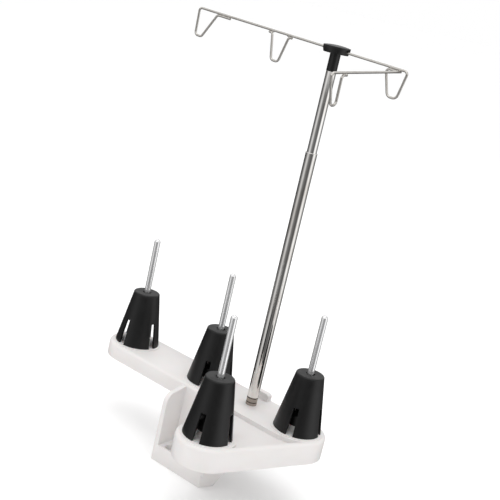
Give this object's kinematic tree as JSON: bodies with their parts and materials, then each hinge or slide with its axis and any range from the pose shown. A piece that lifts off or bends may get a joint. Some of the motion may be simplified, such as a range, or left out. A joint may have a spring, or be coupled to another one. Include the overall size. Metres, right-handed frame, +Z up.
{
  "type": "thread rack",
  "caption": "Bolt-on thread stand: flat L-shaped deck with spool pins and lift-off cones, telescopic mast and a swivelling wire guide with hanging thread loops.",
  "frame": {"origin": "midway between the axes of the two bracket screws, on the bracket's underside", "axes": "+X along the row of three spools towards the mast's end, -Y towards the front spool, +Z up along the mast"},
  "size_m": [0.249, 0.137, 0.3944],
  "materials": {
    "housing_plastic": "fine satin moulded ABS, warm white",
    "cone_plastic": "satin black moulded plastic",
    "head_plastic": "satin black moulded plastic",
    "pin_chrome": "bright chrome plate",
    "mast_chrome": "chrome-plated drawn tube",
    "wire_steel": "drawn and plated steel wire",
    "zinc_steel": "zinc-plated steel",
    "nylon": "natural nylon"
  },
  "bodies": {
    "stand": {"deck_housing": "housing_plastic", "spool_pin_1": "pin_chrome", "spool_pin_2": "pin_chrome", "spool_pin_3": "pin_chrome", "spool_pin_4": "pin_chrome", "pin_screws": "zinc_steel", "pin_washers": "zinc_steel", "mast_lower_tube": "mast_chrome", "mast_foot_plug": "zinc_steel", "mast_screw": "zinc_steel", "mast_washer": "zinc_steel"},
    "mast_slider": {"mast_upper_tube": "mast_chrome", "mast_glide": "nylon"},
    "guide_head": {"head_stem": "head_plastic", "head_lid": "head_plastic", "guide_bar": "wire_steel", "guide_cross_wire": "wire_steel", "thread_loop_1": "wire_steel", "thread_loop_2": "wire_steel", "thread_loop_3": "wire_steel", "thread_loop_4": "wire_steel"},
    "cone_1": {"spool_cone_1": "cone_plastic"},
    "cone_2": {"spool_cone_2": "cone_plastic"},
    "cone_3": {"spool_cone_3": "cone_plastic"},
    "cone_4": {"spool_cone_4": "cone_plastic"}
  },
  "joints": [
    {"name": "mast_slide", "type": "slide", "parent": "stand", "child": "mast_slider", "axis": [0, 0, 1], "range_m": [-0.068, 0]},
    {"name": "guide_swivel", "type": "hinge", "parent": "mast_slider", "child": "guide_head", "pos_m": [0.0305, 0.041, 0.3707], "axis": [0, 0, 1], "continuous": true},
    {"name": "cone_lift_1", "type": "slide", "parent": "stand", "child": "cone_1", "axis": [0, 0, 1], "range_m": [0, 0.115]},
    {"name": "cone_lift_2", "type": "slide", "parent": "stand", "child": "cone_2", "axis": [0, 0, 1], "range_m": [0, 0.115]},
    {"name": "cone_lift_3", "type": "slide", "parent": "stand", "child": "cone_3", "axis": [0, 0, 1], "range_m": [0, 0.115]},
    {"name": "cone_lift_4", "type": "slide", "parent": "stand", "child": "cone_4", "axis": [0, 0, 1], "range_m": [0, 0.115]}
  ]
}
